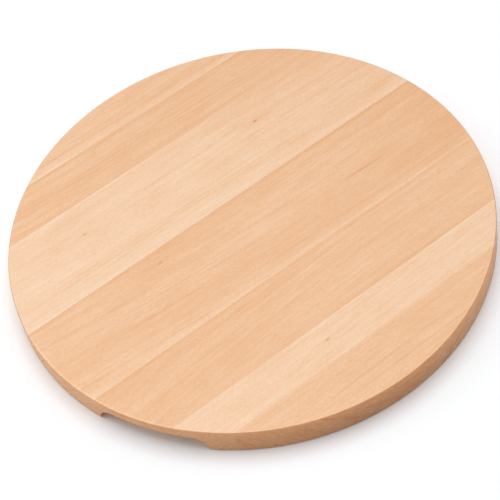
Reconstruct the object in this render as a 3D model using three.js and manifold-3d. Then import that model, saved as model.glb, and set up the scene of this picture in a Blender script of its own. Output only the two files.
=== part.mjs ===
// Round wooden pizza board, edge-glued from solid beech staves, with two finger grips
// milled into the underside of the rim. Millimetres, +Z up.
// Origin: centre of the underside. The grips lie on -Y (front) and +Y (back).
import * as THREE from "three";
import { mergeVertices } from "three/addons/utils/BufferGeometryUtils.js";
import Module from "manifold-3d";

// ---- driving dimensions -------------------------------------------------------------
const DIAMETER = 330; // across the rim
const THICKNESS = 20; // planed and sanded thickness
const TOP_EDGE_R = 0.8; // broken upper rim edge
const UNDER_EDGE_R = 1.5; // round-over of the lower rim edge
const RIM_STEPS = 240; // facets round the rim
const EDGE_STEPS = 4; // facets across each round-over

const GRAIN_DEG = 60; // direction of the grain, anticlockwise from +X
// Glue joints, measured square to the grain from the centre of the board.
const SEAMS = [134.75, 97, 25.25, -46.25, -96.75, -125.5];
const JOINT_WIDTH = 0.2; // gap between two staves
const FILM = 0.16; // cured adhesive film standing in that gap

const GRIP_HEIGHT = 12; // clear height of a finger grip above the table
const GRIP_COVE_R = 12; // round-nose cutter: cove round the grip's walls
const GRIP_CEILING_DEPTH = 12; // flat ceiling, from the rim inwards
const GRIP_CEILING_WIDTH = 53; // flat ceiling, along the rim
const GRIP_CORNER_R = 2; // plan radius of the ceiling's inner corners
const GRIP_DIRECTIONS = [270, 90]; // degrees from +X
const COVE_STEPS = 8;

const R = DIAMETER / 2;
const rad = (deg) => (deg * Math.PI) / 180;

// ---- solids --------------------------------------------------------------------------
const wasm = await Module();
wasm.setup();

// A closed three.js geometry as a solid for joining and cutting.
function solid(geometry) {
  const bare = geometry.index ? geometry.toNonIndexed() : geometry.clone();
  bare.deleteAttribute("normal");
  bare.deleteAttribute("uv");
  const merged = mergeVertices(bare, 1e-4);
  const index = merged.index.array;
  const faces = [];
  for (let i = 0; i < index.length; i += 3) {
    const [a, b, c] = [index[i], index[i + 1], index[i + 2]];
    if (a !== b && b !== c && c !== a) faces.push(a, b, c);
  }
  return new wasm.Manifold(
    new wasm.Mesh({
      numProp: 3,
      vertProperties: new Float32Array(merged.attributes.position.array),
      triVerts: new Uint32Array(faces),
    }),
  );
}

function geometryOf(manifold) {
  const mesh = manifold.getMesh();
  const step = mesh.numProp;
  const position = new Float32Array(mesh.numVert * 3);
  for (let i = 0; i < mesh.numVert; i++)
    position.set(mesh.vertProperties.subarray(i * step, i * step + 3), i * 3);
  const made = new THREE.BufferGeometry()
    .setAttribute("position", new THREE.BufferAttribute(position, 3))
    .setIndex(new THREE.BufferAttribute(new Uint32Array(mesh.triVerts), 1));
  made.computeVertexNormals();
  return made;
}

// The whole turned disc: flat faces, straight rim and a round-over on both edges.
function disc() {
  const profile = [new THREE.Vector2(0, 0)];
  for (let i = 0; i <= EDGE_STEPS; i++) {
    const a = rad(-90 + (90 * i) / EDGE_STEPS);
    profile.push(
      new THREE.Vector2(
        R - UNDER_EDGE_R + UNDER_EDGE_R * Math.cos(a),
        UNDER_EDGE_R + UNDER_EDGE_R * Math.sin(a),
      ),
    );
  }
  for (let i = 0; i <= EDGE_STEPS; i++) {
    const a = rad((90 * i) / EDGE_STEPS);
    profile.push(
      new THREE.Vector2(
        R - TOP_EDGE_R + TOP_EDGE_R * Math.cos(a),
        THICKNESS - TOP_EDGE_R + TOP_EDGE_R * Math.sin(a),
      ),
    );
  }
  profile.push(new THREE.Vector2(0, THICKNESS));
  return solid(new THREE.LatheGeometry(profile, RIM_STEPS).rotateX(Math.PI / 2));
}

// The cutter's sweep for one grip: a flat ceiling with a cove falling to the underside all
// round, open at the rim. Built pointing along +X, then turned to its direction.
function gripCutter(direction) {
  const inner = R - GRIP_CEILING_DEPTH;
  const outer = R + 30;
  const half = Math.asin(GRIP_CEILING_WIDTH / 2 / R);
  const at = (r, a) => new THREE.Vector2(r * Math.cos(a), r * Math.sin(a));
  const turn = GRIP_CORNER_R / inner;
  const outline = [at(outer, -half), at(outer, half)];
  const corner = (side) => {
    const points = [];
    for (let i = 0; i <= 4; i++) {
      const a = rad(90 * (i / 4));
      points.push(
        at(
          inner + GRIP_CORNER_R * (1 - Math.sin(a)),
          side * (half - turn * (1 - Math.cos(a))),
        ),
      );
    }
    return points;
  };
  outline.push(...corner(1));
  for (let i = 1; i < 10; i++)
    outline.push(at(inner, (half - turn) * (1 - (2 * i) / 10)));
  outline.push(...corner(-1).reverse());
  const depth = 6; // straight run below the underside, outside the wood
  const sweep = new THREE.ExtrudeGeometry(new THREE.Shape(outline), {
    depth,
    bevelEnabled: true,
    bevelThickness: GRIP_HEIGHT,
    bevelSize: GRIP_COVE_R,
    bevelSegments: COVE_STEPS,
    curveSegments: 1,
  });
  sweep.translate(0, 0, -depth);
  sweep.rotateZ(rad(direction));
  return solid(sweep);
}

// A slice square to the grain, between two distances from the centre.
function slice(low, high) {
  const box = new THREE.BoxGeometry(3 * DIAMETER, high - low, 4 * THICKNESS);
  box.translate(0, (low + high) / 2, 0);
  return solid(box);
}

// ---- lay-up --------------------------------------------------------------------------
// Worked in the grain's own frame: local +X runs along the grain.
let board = disc();
for (const direction of GRIP_DIRECTIONS)
  board = board.subtract(gripCutter(direction - GRAIN_DEG));

const TONES = {
  light: 0xf3cfac,
  mid: 0xeec19a,
  tan: 0xe9b98f,
};
const STAVES = [
  ["stave_1_edge", "mid"],
  ["stave_2", "tan"],
  ["stave_3_back_grip", "light"],
  ["stave_4_centre", "tan"],
  ["stave_5_front_grip", "tan"],
  ["stave_6", "light"],
  ["stave_7_edge", "mid"],
];

const pizzaBoard = new THREE.Group();
pizzaBoard.name = "pizza_board";
const layUp = new THREE.Group();
layUp.name = "lay_up";
layUp.rotation.z = rad(GRAIN_DEG);
pizzaBoard.add(layUp);

STAVES.forEach(([name, tone], i) => {
  const high = i === 0 ? R + 10 : SEAMS[i - 1] - JOINT_WIDTH / 2;
  const low = i === SEAMS.length ? -R - 10 : SEAMS[i] + JOINT_WIDTH / 2;
  const stave = new THREE.Mesh(
    geometryOf(board.intersect(slice(low, high))),
    new THREE.MeshStandardMaterial({
      color: TONES[tone],
      roughness: 0.55,
      metalness: 0,
    }),
  );
  stave.name = name;
  layUp.add(stave);
});

SEAMS.forEach((seam, i) => {
  const film = new THREE.Mesh(
    geometryOf(board.intersect(slice(seam - FILM / 2, seam + FILM / 2))),
    new THREE.MeshStandardMaterial({
      color: 0xc79a6c,
      roughness: 0.45,
      metalness: 0,
    }),
  );
  film.name = `glue_line_${i + 1}_${i + 2}`;
  layUp.add(film);
});

export default pizzaBoard;
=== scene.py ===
"""Looks of a round beech pizza board: seven edge-glued staves, six glue lines and two coved finger grips."""

import math

import bmesh
import bpy
from mathutils import Matrix, Vector


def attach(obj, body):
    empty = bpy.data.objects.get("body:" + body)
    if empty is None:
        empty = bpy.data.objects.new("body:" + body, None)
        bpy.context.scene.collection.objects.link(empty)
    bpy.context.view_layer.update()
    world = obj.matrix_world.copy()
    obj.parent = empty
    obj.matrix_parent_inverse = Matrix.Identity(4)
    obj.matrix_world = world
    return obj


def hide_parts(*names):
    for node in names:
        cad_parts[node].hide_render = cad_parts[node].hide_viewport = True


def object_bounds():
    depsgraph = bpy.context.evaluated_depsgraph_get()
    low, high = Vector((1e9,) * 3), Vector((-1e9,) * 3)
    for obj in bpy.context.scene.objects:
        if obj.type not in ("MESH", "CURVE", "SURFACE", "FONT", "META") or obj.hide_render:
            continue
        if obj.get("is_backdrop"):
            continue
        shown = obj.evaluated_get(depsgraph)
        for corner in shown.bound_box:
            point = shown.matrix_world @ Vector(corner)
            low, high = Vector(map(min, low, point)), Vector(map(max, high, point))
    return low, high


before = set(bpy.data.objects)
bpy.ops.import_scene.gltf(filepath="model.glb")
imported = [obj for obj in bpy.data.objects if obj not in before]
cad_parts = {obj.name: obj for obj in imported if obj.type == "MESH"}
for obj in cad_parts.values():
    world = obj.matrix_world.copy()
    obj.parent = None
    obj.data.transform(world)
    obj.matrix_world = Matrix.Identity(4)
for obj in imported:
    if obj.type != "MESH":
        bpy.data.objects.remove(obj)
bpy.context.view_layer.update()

# ---- the board's dimensions, in millimetres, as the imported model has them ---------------
R = 165.0
T = 20.0
TOP_EDGE_R = 0.8
UNDER_EDGE_R = 1.5
GRAIN = math.radians(60)
SEAMS = [134.75, 97.0, 25.25, -46.25, -96.75, -125.5]
JOINT = 0.2
GRIP_H = 12.0
GRIP_R_IN = R - 12.0
GRIP_HALF = math.asin(26.5 / R)
GRIP_DIRS = [270, 90]
LIP = 1.0  # eased edge round each grip
STAVES = [
    "stave_1_edge",
    "stave_2",
    "stave_3_back_grip",
    "stave_4_centre",
    "stave_5_front_grip",
    "stave_6",
    "stave_7_edge",
]


# ---- shape ------------------------------------------------------------------------------
def object_of(bm, name):
    mesh = bpy.data.meshes.new(name)
    bm.to_mesh(mesh)
    bm.free()
    made = bpy.data.objects.new(name, mesh)
    bpy.context.scene.collection.objects.link(made)
    return made


def turned_disc(steps=480):
    """The whole disc: flat faces with a narrow margin ring, straight rim, rounded edges."""
    profile = [(R - UNDER_EDGE_R - 3.0, 0.0)]
    for i in range(9):
        a = math.radians(-90 + 90 * i / 8)
        profile.append(
            (
                R - UNDER_EDGE_R + UNDER_EDGE_R * math.cos(a),
                UNDER_EDGE_R + UNDER_EDGE_R * math.sin(a),
            )
        )
    for i in range(9):
        a = math.radians(90 * i / 8)
        profile.append(
            (
                R - TOP_EDGE_R + TOP_EDGE_R * math.cos(a),
                T - TOP_EDGE_R + TOP_EDGE_R * math.sin(a),
            )
        )
    profile.append((R - TOP_EDGE_R - 3.0, T))
    bm = bmesh.new()
    rings = []
    for k in range(steps):
        a = 2 * math.pi * (k + 0.5) / steps
        rings.append(
            [bm.verts.new((r * math.cos(a), r * math.sin(a), z)) for r, z in profile]
        )
    for k in range(steps):
        here, after = rings[k], rings[(k + 1) % steps]
        for j in range(len(profile) - 1):
            bm.faces.new((here[j], after[j], after[j + 1], here[j + 1]))
    bm.faces.new([ring[0] for ring in reversed(rings)])
    bm.faces.new([ring[-1] for ring in rings])
    bm.normal_update()
    return object_of(bm, "disc")


def cove_profile():
    """From the ceiling's edge out to the underside: (offset, height, normal offset, normal height)."""
    points = []
    end = math.acos(LIP / GRIP_H)
    for i in range(17):
        a = end * i / 16
        points.append(
            (GRIP_H * math.sin(a), GRIP_H * math.cos(a), math.sin(a), math.cos(a))
        )
    reach = points[-1][0]
    for i in range(1, 7):
        a = math.radians(75 * i / 6)
        points.append(
            (
                reach + LIP * (1 - math.cos(a)),
                LIP * (1 - math.sin(a)),
                math.cos(a),
                math.sin(a),
            )
        )
    o, z, no, nz = points[-1]
    points.append((o + 4.0 * nz, z - 4.0 * no, no, nz))
    return points


def mouth(r):
    """How far the grip flares where it breaks through the rim, for its eased edge."""
    s = (r - (R - LIP)) / LIP
    if s <= 0:
        return 0.0
    top = math.sin(math.radians(75))
    if s <= top:
        return LIP * (1 - math.sqrt(1 - s * s))
    knee = LIP * (1 - math.cos(math.radians(75)))
    return knee + min(s - top, 1.0) * LIP * math.tan(math.radians(75))


def grip_cutter(direction):
    cove = cove_profile()
    n = len(cove)
    ahead = math.radians(direction)

    def along(a):
        return Vector((math.cos(ahead + a), math.sin(ahead + a), 0))

    def across(a):
        return Vector((-math.sin(ahead + a), math.cos(ahead + a), 0))

    # across: outer cove, ceiling, other cove; inwards: inner cove, ceiling, eased mouth
    columns = [("cove", n - 1 - i, 1) for i in range(n)]
    columns += [("flat", 1 - 2 * i / 16, 0) for i in range(1, 16)]
    columns += [("cove", i, -1) for i in range(n)]
    rows = [("cove", n - 1 - j) for j in range(n)]
    stops = [GRIP_R_IN + (R - LIP - GRIP_R_IN) * j / 4 for j in range(1, 5)]
    stops += [R - LIP + LIP * math.sin(math.radians(75 * j / 6)) for j in range(1, 7)]
    stops += [R + 0.9, R + 12.0]
    rows += [("flat", r) for r in stops]

    bm = bmesh.new()
    grid = []
    for row in rows:
        line = []
        for kind, value, side in columns:
            if row[0] == "cove":
                oj, zj = cove[row[1]][:2]
                if kind == "flat":
                    p = along(GRIP_HALF * value) * (GRIP_R_IN - oj)
                    z = zj
                else:
                    oi, zi = cove[value][:2]
                    corner = along(GRIP_HALF * side) * GRIP_R_IN
                    out, back = across(GRIP_HALF * side) * side, -along(GRIP_HALF * side)
                    if max(oi, oj) < 1e-9:
                        p, z = corner, GRIP_H
                    else:
                        if oi >= oj:
                            turn, reach, z = math.pi / 4 * oj / oi, oi, zi
                        else:
                            turn, reach, z = math.pi / 2 - math.pi / 4 * oi / oj, oj, zj
                        p = corner + (out * math.cos(turn) + back * math.sin(turn)) * reach
            else:
                r = row[1]
                flare = mouth(r)
                if kind == "flat":
                    p = along(GRIP_HALF * value) * r
                    z = GRIP_H + flare
                else:
                    o, z0, no, nz = cove[value]
                    p = (
                        along(GRIP_HALF * side) * r
                        + across(GRIP_HALF * side) * side * (o + flare * no)
                    )
                    z = z0 + flare * nz
            line.append(bm.verts.new((p.x, p.y, z)))
        grid.append(line)
    for j in range(len(grid) - 1):
        for i in range(len(columns) - 1):
            bm.faces.new(
                (grid[j][i], grid[j][i + 1], grid[j + 1][i + 1], grid[j + 1][i])
            )
    # close it below the board
    rim = (
        grid[0][:-1]
        + [line[-1] for line in grid[:-1]]
        + list(reversed(grid[-1][1:]))
        + [line[0] for line in reversed(grid[1:])]
    )
    low = [bm.verts.new((v.co.x, v.co.y, -9.0)) for v in rim]
    for k in range(len(rim)):
        m = (k + 1) % len(rim)
        bm.faces.new((rim[k], low[k], low[m], rim[m]))
    bm.faces.new(low)
    bmesh.ops.recalc_face_normals(bm, faces=bm.faces)
    return object_of(bm, "grip_cutter")


def carve(body, tools):
    for tool in tools:
        cut = body.modifiers.new("cut", "BOOLEAN")
        cut.operation, cut.solver, cut.object = "DIFFERENCE", "EXACT", tool
    view = bpy.context.evaluated_depsgraph_get()
    done = bpy.data.meshes.new_from_object(body.evaluated_get(view))
    for spent in [body, *tools]:
        bpy.data.objects.remove(spent)
    return done


def slice_of(body, low, high, name):
    """The body between two planes square to the grain, closed, in metres."""
    bm = bmesh.new()
    bm.from_mesh(body)
    normal = Vector((-math.sin(GRAIN), math.cos(GRAIN), 0))
    for distance, side in ((high, 1), (low, -1)):
        if distance is None:
            continue
        cut = bmesh.ops.bisect_plane(
            bm,
            geom=bm.verts[:] + bm.edges[:] + bm.faces[:],
            dist=1e-5,
            plane_co=normal * distance,
            plane_no=normal * side,
            clear_outer=True,
        )
        edges = [e for e in cut["geom_cut"] if isinstance(e, bmesh.types.BMEdge)]
        bmesh.ops.edgeloop_fill(bm, edges=edges)
    bmesh.ops.remove_doubles(bm, verts=bm.verts, dist=1e-4)
    bmesh.ops.dissolve_degenerate(bm, dist=1e-4, edges=bm.edges)
    bmesh.ops.triangulate(
        bm, faces=[f for f in bm.faces if len(f.verts) > 4], ngon_method="EAR_CLIP"
    )
    bmesh.ops.recalc_face_normals(bm, faces=bm.faces)
    for f in bm.faces:
        f.smooth = True
    bmesh.ops.scale(bm, vec=(0.001, 0.001, 0.001), verts=bm.verts)
    made = object_of(bm, name)
    made.data.set_sharp_from_angle(angle=math.radians(35))
    smooth = made.modifiers.new("even_normals", "WEIGHTED_NORMAL")
    smooth.keep_sharp, smooth.weight = True, 80
    return made


# ---- nodes ------------------------------------------------------------------------------
class Graph:
    def __init__(self, name):
        self.material = bpy.data.materials.new(name)
        self.material.use_nodes = True
        self.tree = self.material.node_tree
        self.shader = self.tree.nodes["Principled BSDF"]

    def node(self, kind, **settings):
        made = self.tree.nodes.new(kind)
        for key, value in settings.items():
            setattr(made, key, value)
        return made

    def set(self, socket, value):
        if isinstance(value, bpy.types.NodeSocket):
            self.tree.links.new(value, socket)
        else:
            socket.default_value = value

    def math(self, op, a, b=0.0, c=0.0, clamp=False):
        n = self.node("ShaderNodeMath", operation=op, use_clamp=clamp)
        for socket, value in zip(n.inputs, (a, b, c)):
            self.set(socket, value)
        return n.outputs[0]

    def add(self, *terms):
        total = terms[0]
        for term in terms[1:]:
            total = self.math("ADD", total, term)
        return total

    def mul(self, a, b):
        return self.math("MULTIPLY", a, b)

    def vec(self, x, y, z):
        n = self.node("ShaderNodeCombineXYZ")
        for socket, value in zip(n.inputs, (x, y, z)):
            self.set(socket, value)
        return n.outputs[0]

    def noise(self, vector, scale=1.0, detail=2.0, rough=0.5, bend=0.0):
        n = self.node("ShaderNodeTexNoise", noise_dimensions="3D")
        self.set(n.inputs["Vector"], vector)
        n.inputs["Scale"].default_value = scale
        n.inputs["Detail"].default_value = detail
        n.inputs["Roughness"].default_value = rough
        n.inputs["Distortion"].default_value = bend
        return n.outputs["Fac"]

    def line_noise(self, w, scale=1.0, detail=2.0, rough=0.5):
        n = self.node("ShaderNodeTexNoise", noise_dimensions="1D")
        self.set(n.inputs["W"], w)
        n.inputs["Scale"].default_value = scale
        n.inputs["Detail"].default_value = detail
        n.inputs["Roughness"].default_value = rough
        return n.outputs["Fac"]

    def span(self, value, a, b, c=0.0, d=1.0, kind="SMOOTHSTEP"):
        n = self.node("ShaderNodeMapRange", interpolation_type=kind, clamp=True)
        self.set(n.inputs["Value"], value)
        for key, v in (("From Min", a), ("From Max", b), ("To Min", c), ("To Max", d)):
            n.inputs[key].default_value = v
        return n.outputs["Result"]

    def ramp(self, value, stops):
        n = self.node("ShaderNodeValToRGB")
        n.color_ramp.interpolation = "LINEAR"
        while len(n.color_ramp.elements) < len(stops):
            n.color_ramp.elements.new(0.5)
        for element, (at, colour) in zip(n.color_ramp.elements, stops):
            element.position = at
            element.color = (*colour, 1.0)
        self.set(n.inputs["Fac"], value)
        return n.outputs["Color"]


# Pale beech, and how it deepens: more amber absorbed from blue than from red.
PALE = (0.815, 0.529, 0.331)
DEEPEN = (0.040, 0.120, 0.215)


def tone_colour(tone):
    return tuple(c * math.exp(-tone * k) for c, k in zip(PALE, DEEPEN))


def grain_place(g):
    """Millimetres in the grain's frame: x along the grain, y across it, z up."""
    place = g.node("ShaderNodeTexCoord").outputs["Object"]
    turn = g.node("ShaderNodeMapping", vector_type="POINT")
    g.set(turn.inputs["Vector"], place)
    turn.inputs["Scale"].default_value = (1000, 1000, 1000)
    turn.inputs["Rotation"].default_value = (0, 0, -GRAIN)
    split = g.node("ShaderNodeSeparateXYZ")
    g.set(split.inputs[0], turn.outputs[0])
    return split.outputs


def rim_place(g):
    """How far a spot faces sideways, how square it is to the fibres, and how near a rounded edge."""
    normal = g.node("ShaderNodeNewGeometry").outputs["Normal"]
    facing = g.node("ShaderNodeVectorMath", operation="DOT_PRODUCT")
    g.set(facing.inputs[0], normal)
    run_out = GRAIN - math.radians(12)
    facing.inputs[1].default_value = (math.cos(run_out), math.sin(run_out), 0)
    end = g.math("POWER", g.math("ABSOLUTE", facing.outputs["Value"]), 1.2)
    upright = g.node("ShaderNodeSeparateXYZ")
    g.set(upright.inputs[0], normal)
    side = g.math("SUBTRACT", 1.0, g.math("ABSOLUTE", upright.outputs[2]), clamp=True)
    edge = g.mul(g.span(side, 0.005, 0.12), g.span(side, 0.2, 0.6, 1.0, 0.0))
    return side, end, edge


def rim_depth(g, side, end):
    """The turned edge is painted deeper along the fibres than where they are cut square: partly the edge's own
    colour, partly painted shade on the rim.
    """
    return g.mul(side, g.math("MULTIPLY_ADD", end, RIM_END - RIM_LONG, RIM_LONG))


def upper_edge(g, x, y, side):
    """The line of the top edge, and the zone towards the front grip where that edge is painted with a highlight
    instead of shade.
    """
    out = g.math("SQRT", g.add(g.mul(x, x), g.mul(y, y)))
    line = g.mul(g.span(out, R - 2.1, R - 0.9), g.span(side, 0.12, 0.5, 1.0, 0.0))
    a = math.radians(254) - GRAIN
    ahead = g.add(g.mul(x, math.cos(a) / R), g.mul(y, math.sin(a) / R))
    return line, g.span(ahead, 0.88, 0.96)


# partly painted shade: how deep the rim is painted along the fibres and where they are cut square
RIM_LONG, RIM_END = 3.8, 1.6
RIM_TONE = 0.9


def beech(name, tone, lean=0.0, seed=0.0, pith=(0.0, -80.0), slope=0.0, bow=0.0, ring=3.2,
          rings=0.5, fibre=1.0, painted_falloff=0.028, knots=(), streaks=(), bands=(), fade=()):
    """Solid beech, worked in the grain's frame.

    tone is the stave's depth of colour, lean how it deepens towards +x, pith the heart's place
    across and below, slope and bow the run-out of the grain, ring the growth-ring spacing.
    bands are (middle, width left, width right, amount left, amount right), fade is
    (x from, x to, y from, y to, amount), and painted_falloff is painted shade: how much darker the +x end is painted.
    """
    g = Graph(name)
    x, y, z = grain_place(g)
    side, end, edge = rim_place(g)
    line, highlight_zone = upper_edge(g, x, y, side)
    # painted light: the upper part of the rim is painted lighter and warmer
    painted_light_rim_top = g.mul(side, g.span(z, 0.5 * T, 0.9 * T))

    # slow wander of the fibres, so that no line is ruler straight
    wander = g.noise(g.vec(g.math("MULTIPLY_ADD", x, 1 / 150, seed), g.mul(y, 1 / 60),
                           g.mul(z, 1 / 60)), detail=2, rough=0.4)
    bent = g.math("MULTIPLY_ADD", x, -bow / 165, -slope)
    y_run = g.add(y, g.mul(x, bent), g.math("MULTIPLY_ADD", wander, 4.4, -2.2))

    # growth rings round the heart
    heart = g.noise(g.vec(g.math("MULTIPLY_ADD", x, 1 / 260, seed * 1.7), seed, 0.0), detail=1)
    dy = g.add(y_run, -pith[0])
    dz = g.add(z, g.math("MULTIPLY_ADD", heart, 6.0, -3.0 - pith[1]))
    out = g.math("SQRT", g.add(g.mul(dy, dy), g.mul(dz, dz)))
    uneven = g.line_noise(g.math("MULTIPLY_ADD", out, 1 / 9, seed), detail=1)
    year = g.math("MULTIPLY_ADD", out, 1 / ring, g.mul(uneven, 2.2))
    part = g.math("FRACT", year)
    late = g.mul(g.span(part, 0.40, 0.90), g.span(part, 0.90, 1.0, 1.0, 0.0))
    which = g.math("FLOOR", year)
    vigour = g.line_noise(g.math("MULTIPLY_ADD", which, 0.37, seed), scale=3.1, detail=0)
    vigour = g.span(vigour, 0.38, 0.72)
    patch = g.noise(g.vec(g.mul(x, 1 / 55), g.mul(y_run, 1 / 7), g.math("MULTIPLY_ADD", z, 1 / 7, seed)), detail=1)
    late = g.mul(g.mul(late, vigour), g.span(patch, 0.35, 0.6, 0.2, 1.0))
    broad = g.line_noise(g.math("MULTIPLY_ADD", out, 1 / 14, seed * 2.3), detail=2)

    # fibres: long soft streaks, then fine ones, then the short dark spindles of the rays
    long_run = g.noise(g.vec(g.math("MULTIPLY_ADD", x, 1 / 70, seed), g.mul(y_run, 1 / 2.4), g.mul(z, 1 / 2.4)), detail=3, rough=0.55)
    fine_run = g.noise(g.vec(g.math("MULTIPLY_ADD", x, 1 / 13, seed), g.mul(y_run, 1 / 1.05), g.mul(z, 1 / 1.05)), detail=3, rough=0.6)
    hair = g.noise(g.vec(g.math("MULTIPLY_ADD", x, 1 / 4.2, seed), g.mul(y_run, 1 / 0.26), g.mul(z, 1 / 0.26)), detail=2, rough=0.6)
    ray = g.noise(g.vec(g.math("MULTIPLY_ADD", x, 1 / 2.6, seed + 5), g.mul(y_run, 1 / 0.33), g.mul(z, 1 / 1.3)), detail=0)
    ray = g.span(ray, 0.66, 0.80)
    fleck = g.noise(g.vec(g.math("MULTIPLY_ADD", x, 1 / 2.2, seed + 9), g.mul(y_run, 1 / 1.2), g.mul(z, 1 / 1.2)), detail=1)
    drift = g.noise(g.vec(g.math("MULTIPLY_ADD", x, 1 / 26, seed + 6), g.mul(y_run, 1 / 6.5), g.mul(z, 1 / 6.5)), detail=1)
    cloud = g.noise(g.vec(g.math("MULTIPLY_ADD", x, 1 / 120, seed + 3), g.mul(y, 1 / 30), g.mul(z, 1 / 30)), detail=2)
    # on the cut edge the pores lie in fine arcs along the rings
    arcs = g.noise(g.vec(g.math("MULTIPLY_ADD", x, 1 / 5, seed), g.mul(out, 1 / 0.7), g.mul(g.math("SUBTRACT", y, z), 1 / 7)), detail=3, rough=0.65)

    flat = g.add(
        g.mul(x, lean / 165),
        g.mul(late, 1.5 * rings),
        g.math("MULTIPLY_ADD", broad, 1.7 * rings, -0.85 * rings),
        g.math("MULTIPLY_ADD", long_run, 1.8 * fibre, -0.9 * fibre),
        g.math("MULTIPLY_ADD", drift, 1.3, -0.65),
        g.math("MULTIPLY_ADD", cloud, 1.2, -0.6),
    )
    across = g.span(x, -140, 140, kind="LINEAR")
    for middle, width_left, width_right, left, right in bands:
        off = g.math("ABSOLUTE", g.add(y, -middle, g.math("MULTIPLY_ADD", wander, 2.0, -1.0)))
        off = g.math("DIVIDE", off, g.math("MULTIPLY_ADD", across, width_right - width_left, width_left))
        amount = g.math("MULTIPLY_ADD", across, right - left, left)
        flat = g.add(flat, g.mul(g.span(off, 0.0, 1.0, 1.0, 0.0), amount))
    for x0, x1, y0, y1, amount in fade:
        flat = g.add(flat, g.mul(g.mul(g.span(x, x0, x1), g.span(y, y0, y1)), amount))
    for x0, y0, x1, y1, width, amount in streaks:
        rise = (y1 - y0) / (x1 - x0)
        wave = g.math("MULTIPLY_ADD", wander, 3.0, -1.5)
        off = g.math("ABSOLUTE", g.add(y, g.mul(x, -rise), rise * x0 - y0, wave, g.math("MULTIPLY_ADD", fine_run, 0.9, -0.45)))
        run = g.mul(g.span(x, x0 - 4, x0 + (x1 - x0) * 0.3), g.span(x, x0 + (x1 - x0) * 0.6, x1 + 4, 1.0, 0.0))
        mark = g.mul(g.span(off, 0.0, width, 1.0, 0.0), g.mul(run, g.span(long_run, 0.3, 0.62, 0.15, 1.0)))
        flat = g.add(flat, g.mul(mark, amount))

    depth = g.add(
        g.math("MULTIPLY_ADD", side, 0.8 * (RIM_TONE - tone), tone),
        g.mul(flat, g.math("MULTIPLY_ADD", side, -0.65, 1.0)),
        g.math("MULTIPLY_ADD", fine_run, 1.35 * fibre, -0.675 * fibre),
        g.math("MULTIPLY_ADD", fleck, 1.85, -0.925),
        g.math("MULTIPLY_ADD", hair, 0.8 * fibre, -0.4 * fibre),
        g.mul(ray, 0.75),
        g.mul(side, g.math("MULTIPLY_ADD", arcs, 7.5, -3.75)),
        g.mul(side, g.math("MULTIPLY_ADD", fine_run, 3.0, -1.5)),
        g.mul(side, g.math("MULTIPLY_ADD", late, 2.0, -0.25)),
        # painted shade on the rounded edge away from the front grip; painted highlight on it and on the top-edge line
        # towards the grip
        g.mul(edge, g.math("MULTIPLY_ADD", highlight_zone, -3.0, 2.2)),
        g.mul(g.mul(line, highlight_zone), -0.35),
        # painted light: the upper part of the rim painted warmer
        g.mul(painted_light_rim_top, 0.75),
        rim_depth(g, side, end),
    )
    for kx, ky, size, amount in knots:
        ex = g.mul(g.add(x, -kx, g.math("MULTIPLY_ADD", z, 0.12, -0.12 * T)), 1 / (1.7 * size))
        ey = g.mul(g.add(y, -ky), 1 / size)
        near = g.math("SQRT", g.add(g.mul(ex, ex), g.mul(ey, ey)))
        tail = g.math("SQRT", g.add(g.mul(g.mul(ex, 0.28), g.mul(ex, 0.28)), g.mul(ey, ey)))
        depth = g.add(depth, g.mul(g.span(near, 0.0, 1.0, 1.0, 0.0), amount), g.mul(g.span(tail, 0.0, 2.2, 1.0, 0.0), 0.16 * amount))

    low, high = -3.0, 13.0
    stops = [
        (k / 8, tone_colour(low + (high - low) * k / 8)) for k in range(9)
    ]
    colour = g.ramp(g.span(depth, low, high, kind="LINEAR"), stops)
    shade = g.node("ShaderNodeVectorMath", operation="SCALE")
    g.set(shade.inputs[0], colour)
    g.set(shade.inputs["Scale"], g.add(
        # painted shade: the board painted darker towards +x
        g.math("MULTIPLY_ADD", x, -painted_falloff / 165, 1.0),
        # painted shade: the rim darkened, most where the fibres run along it
        g.mul(side, g.math("MULTIPLY_ADD", end, 0.255, -0.236)),
        # painted shade low on the rim, painted light high on it
        g.mul(side, g.math("MULTIPLY_ADD", z, 0.05 / T, -0.025)),
        g.mul(painted_light_rim_top, g.math("MULTIPLY_ADD", end, -0.14, 0.2)),
        # painted shade on the rounded edge away from the front grip; painted highlight on it and on the top-edge line
        # towards the grip
        g.mul(edge, g.math("MULTIPLY_ADD", highlight_zone, 0.30, -0.13)),
        g.mul(line, g.math("MULTIPLY_ADD", highlight_zone, 0.045, 0.015)),
    ))
    g.set(g.shader.inputs["Base Color"], shade.outputs[0])
    g.set(
        g.shader.inputs["Roughness"],
        g.add(g.math("MULTIPLY_ADD", fine_run, 0.14, 0.40), g.mul(g.mul(side, end), 0.08), g.mul(ray, -0.05), g.mul(edge, -0.06)),
    )
    g.shader.inputs["Specular IOR Level"].default_value = 0.42
    bump = g.node("ShaderNodeBump")
    bump.inputs["Strength"].default_value = 0.35
    bump.inputs["Distance"].default_value = 0.00012
    g.set(bump.inputs["Height"], g.add(g.mul(fine_run, 0.6), g.mul(hair, 0.5), g.mul(ray, -0.5)))
    g.set(g.shader.inputs["Normal"], bump.outputs[0])
    return g.material


def glue(name, tone, seed):
    """Cured adhesive with wood dust sanded into it."""
    g = Graph(name)
    x, y, z = grain_place(g)
    side, end, edge = rim_place(g)
    dust = g.noise(g.vec(g.math("MULTIPLY_ADD", x, 1 / 9, seed), y, g.mul(z, 1 / 3)), detail=3)
    depth = g.add(
        g.math("MULTIPLY_ADD", side, 0.8 * (RIM_TONE - tone), tone),
        g.math("MULTIPLY_ADD", dust, -2.4, 1.2),
        rim_depth(g, side, end),
    )
    stops = [(k / 6, tone_colour(-3.0 + 2.0 * k)) for k in range(7)]
    g.set(g.shader.inputs["Base Color"], g.ramp(g.span(depth, -3.0, 9.0, kind="LINEAR"), stops))
    g.set(g.shader.inputs["Roughness"], g.math("MULTIPLY_ADD", dust, 0.2, 0.35))
    g.shader.inputs["Specular IOR Level"].default_value = 0.42
    return g.material


# ---- the pieces -------------------------------------------------------------------------
body = carve(turned_disc(), [grip_cutter(d) for d in GRIP_DIRS])

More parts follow.
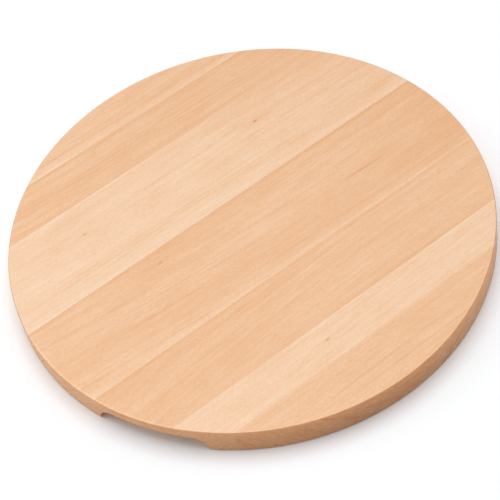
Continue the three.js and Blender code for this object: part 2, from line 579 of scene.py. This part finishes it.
WOODS = [
    dict(tone=0.7, lean=0.35, painted_falloff=0.045, seed=3.1, pith=(260.0, -60.0), slope=0.0, ring=2.6, rings=0.8,
         bands=[(134.75, 9.0, 7.0, -0.95, -0.95), (157.0, 7.0, 7.0, 0.45, 0.45)]),
    dict(tone=1.02, lean=0.42, painted_falloff=0.033, seed=11.7, pith=(-30.0, -90.0), slope=-0.03, bow=0.02, ring=3.4, rings=0.6,
         bands=[(134.0, 4.5, 4.5, 0.3, 0.7)]),
    dict(tone=-0.2, lean=0.28, seed=23.9, pith=(190.0, -90.0), slope=-0.02, ring=3.8, rings=0.45,
         knots=[(-88.3, 70.4, 1.15, 4.0), (60.1, 71.4, 1.6, 5.0)],
         bands=[(25.25, 16.0, 10.0, -0.5, -0.3), (97.0, 9.0, 5.0, -0.45, 0.1)],
         fade=[(-20.0, 90.0, 55.0, 90.0, 0.55), (20.0, 150.0, 25.0, 60.0, 0.4)]),
    dict(tone=0.96, lean=0.17, seed=37.3, pith=(-150.0, -110.0), slope=-0.045, bow=0.03, ring=3.4, rings=0.6,
         knots=[(-63.7, 14.0, 1.5, 2.6)],
         streaks=[(69.7, -14.9, 123.8, -17.3, 1.1, 3.2), (-120.2, 5.5, -98.6, 2.4, 0.9, 2.2),
                  (-139.5, -15.6, -33.7, -22.8, 1.4, 1.3)],
         bands=[(24.6, 3.6, 3.6, 0.75, 0.75), (-46.25, 9.5, 4.0, -0.85, -0.95)],
         fade=[(90.0, 165.0, -60.0, -50.0, 0.6)]),
    dict(tone=1.02, lean=-0.03, seed=51.1, pith=(120.0, -130.0), slope=0.035, bow=-0.04, ring=3.0, rings=0.5,
         bands=[(-46.8, 4.5, 3.0, 0.75, 0.4), (-96.0, 5.0, 5.0, 0.05, 0.45)]),
    dict(tone=-0.1, lean=0.05, seed=67.9, pith=(-210.0, -60.0), slope=0.01, ring=2.8, rings=0.45, fibre=1.2,
         knots=[(-20.4, -110.1, 1.3, 4.0)],
         bands=[(-97.5, 4.0, 4.0, -0.55, -0.5), (-125.5, 6.0, 5.0, -0.25, 0.45)]),
    dict(tone=1.01, lean=0.03, seed=83.3, pith=(-10.0, -70.0), slope=0.01, ring=3.4, rings=0.5,
         streaks=[(-67.3, -146.7, 60.1, -145.0, 1.2, 1.3)],
         bands=[(-125.5, 4.0, 2.0, -0.5, -0.2)]),
]
for i, (node, wood) in enumerate(zip(STAVES, WOODS)):
    high = None if i == 0 else SEAMS[i - 1] - JOINT / 2
    low = None if i == len(SEAMS) else SEAMS[i] + JOINT / 2
    stave = slice_of(body, low, high, f"{node}_beech")
    stave.data.materials.append(beech(f"beech_{i + 1}", **wood))
    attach(stave, "root")
    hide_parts(node)

GLUES = [1.9, 1.7, 2.6, 1.6, 1.5, 0.8]
for i, (seam, tone) in enumerate(zip(SEAMS, GLUES)):
    node = f"glue_line_{i + 1}_{i + 2}"
    film = slice_of(body, seam - JOINT / 2, seam + JOINT / 2, f"{node}_film")
    film.data.materials.append(glue(f"wood_glue_{i + 1}", tone, 7.0 * i))
    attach(film, "root")
    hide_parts(node)
bpy.data.meshes.remove(body)

# ---- stage, light and camera ------------------------------------------------------------
bm = bmesh.new()
bmesh.ops.create_circle(bm, cap_ends=True, segments=96, radius=9.0)
floor = object_of(bm, "floor")
g = Graph("floor_white")
g.shader.inputs["Base Color"].default_value = (0.920, 0.940, 0.962, 1)
g.shader.inputs["Roughness"].default_value = 0.9
g.shader.inputs["Specular IOR Level"].default_value = 0.1
floor.data.materials.append(g.material)
floor.location.z = -0.0002
floor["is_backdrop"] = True

VIEW_TURN = math.radians(32.25)  # the photograph's azimuth
ELEVATION = math.radians(51.02)
ROLL = math.radians(-12.16)
turn = Matrix.Rotation(VIEW_TURN, 3, "Z")
right = turn @ Vector((1, 0, 0))
back = turn @ Vector((0, -math.cos(ELEVATION), math.sin(ELEVATION)))
up = turn @ Vector((0, math.sin(ELEVATION), math.cos(ELEVATION)))
aim = turn @ (Vector((-0.0139, -0.1417, 0)) * R * 0.001) + Vector((0, 0, T * 0.001))
cam_x = right * math.cos(ROLL) + up * math.sin(ROLL)
cam_y = up * math.cos(ROLL) - right * math.sin(ROLL)
# a last nudge of the framing, in pixels down and to the right
aim += (cam_y * 0.65 - cam_x * 1.0) * (6.618 * R * 0.001 / 1646)
camera = bpy.data.objects.new("camera", bpy.data.cameras.new("camera"))
camera.data.sensor_width = 36.0
camera.data.lens = 1646 / 500 * 36.0
camera.data.clip_start = 0.01
camera.data.clip_end = 60.0
pose = Matrix((cam_x, cam_y, back)).transposed().to_4x4()
pose.translation = aim + back * (6.618 * R * 0.001)
camera.matrix_world = pose
bpy.context.scene.collection.objects.link(camera)
bpy.context.scene.camera = camera


def sun(name, azimuth, elevation, strength, angle):
    """azimuth is measured from the photograph's right, anticlockwise seen from above."""
    lamp = bpy.data.objects.new(name, bpy.data.lights.new(name, "SUN"))
    lamp.data.energy = strength
    lamp.data.angle = math.radians(angle)
    a, e = math.radians(azimuth) + VIEW_TURN, math.radians(elevation)
    towards = Vector((math.cos(a) * math.cos(e), math.sin(a) * math.cos(e), math.sin(e)))
    lamp.rotation_euler = towards.to_track_quat("Z", "Y").to_euler()
    bpy.context.scene.collection.objects.link(lamp)
    return lamp


sun("key", 89, 79, 1.958, 57)
sun("left", 165, 36, 0.45, 45)
sun("right", 20, 36, 0.14, 45)
# a soft surround, a little brighter low down than overhead
world = bpy.data.worlds.new("studio")
bpy.context.scene.world = world
world.use_nodes = True
tree = world.node_tree
coordinates = tree.nodes.new("ShaderNodeTexCoord")
height = tree.nodes.new("ShaderNodeSeparateXYZ")
tree.links.new(coordinates.outputs["Generated"], height.inputs[0])
level = tree.nodes.new("ShaderNodeMath")
level.operation = "MULTIPLY_ADD"
tree.links.new(height.outputs[2], level.inputs[0])
level.inputs[1].default_value, level.inputs[2].default_value = -0.177, 0.4875
tree.links.new(level.outputs[0], tree.nodes["Background"].inputs["Strength"])
tree.nodes["Background"].inputs["Color"].default_value = (1, 1, 1, 1)
bpy.context.scene.view_settings.view_transform = "Standard"

low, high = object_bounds()
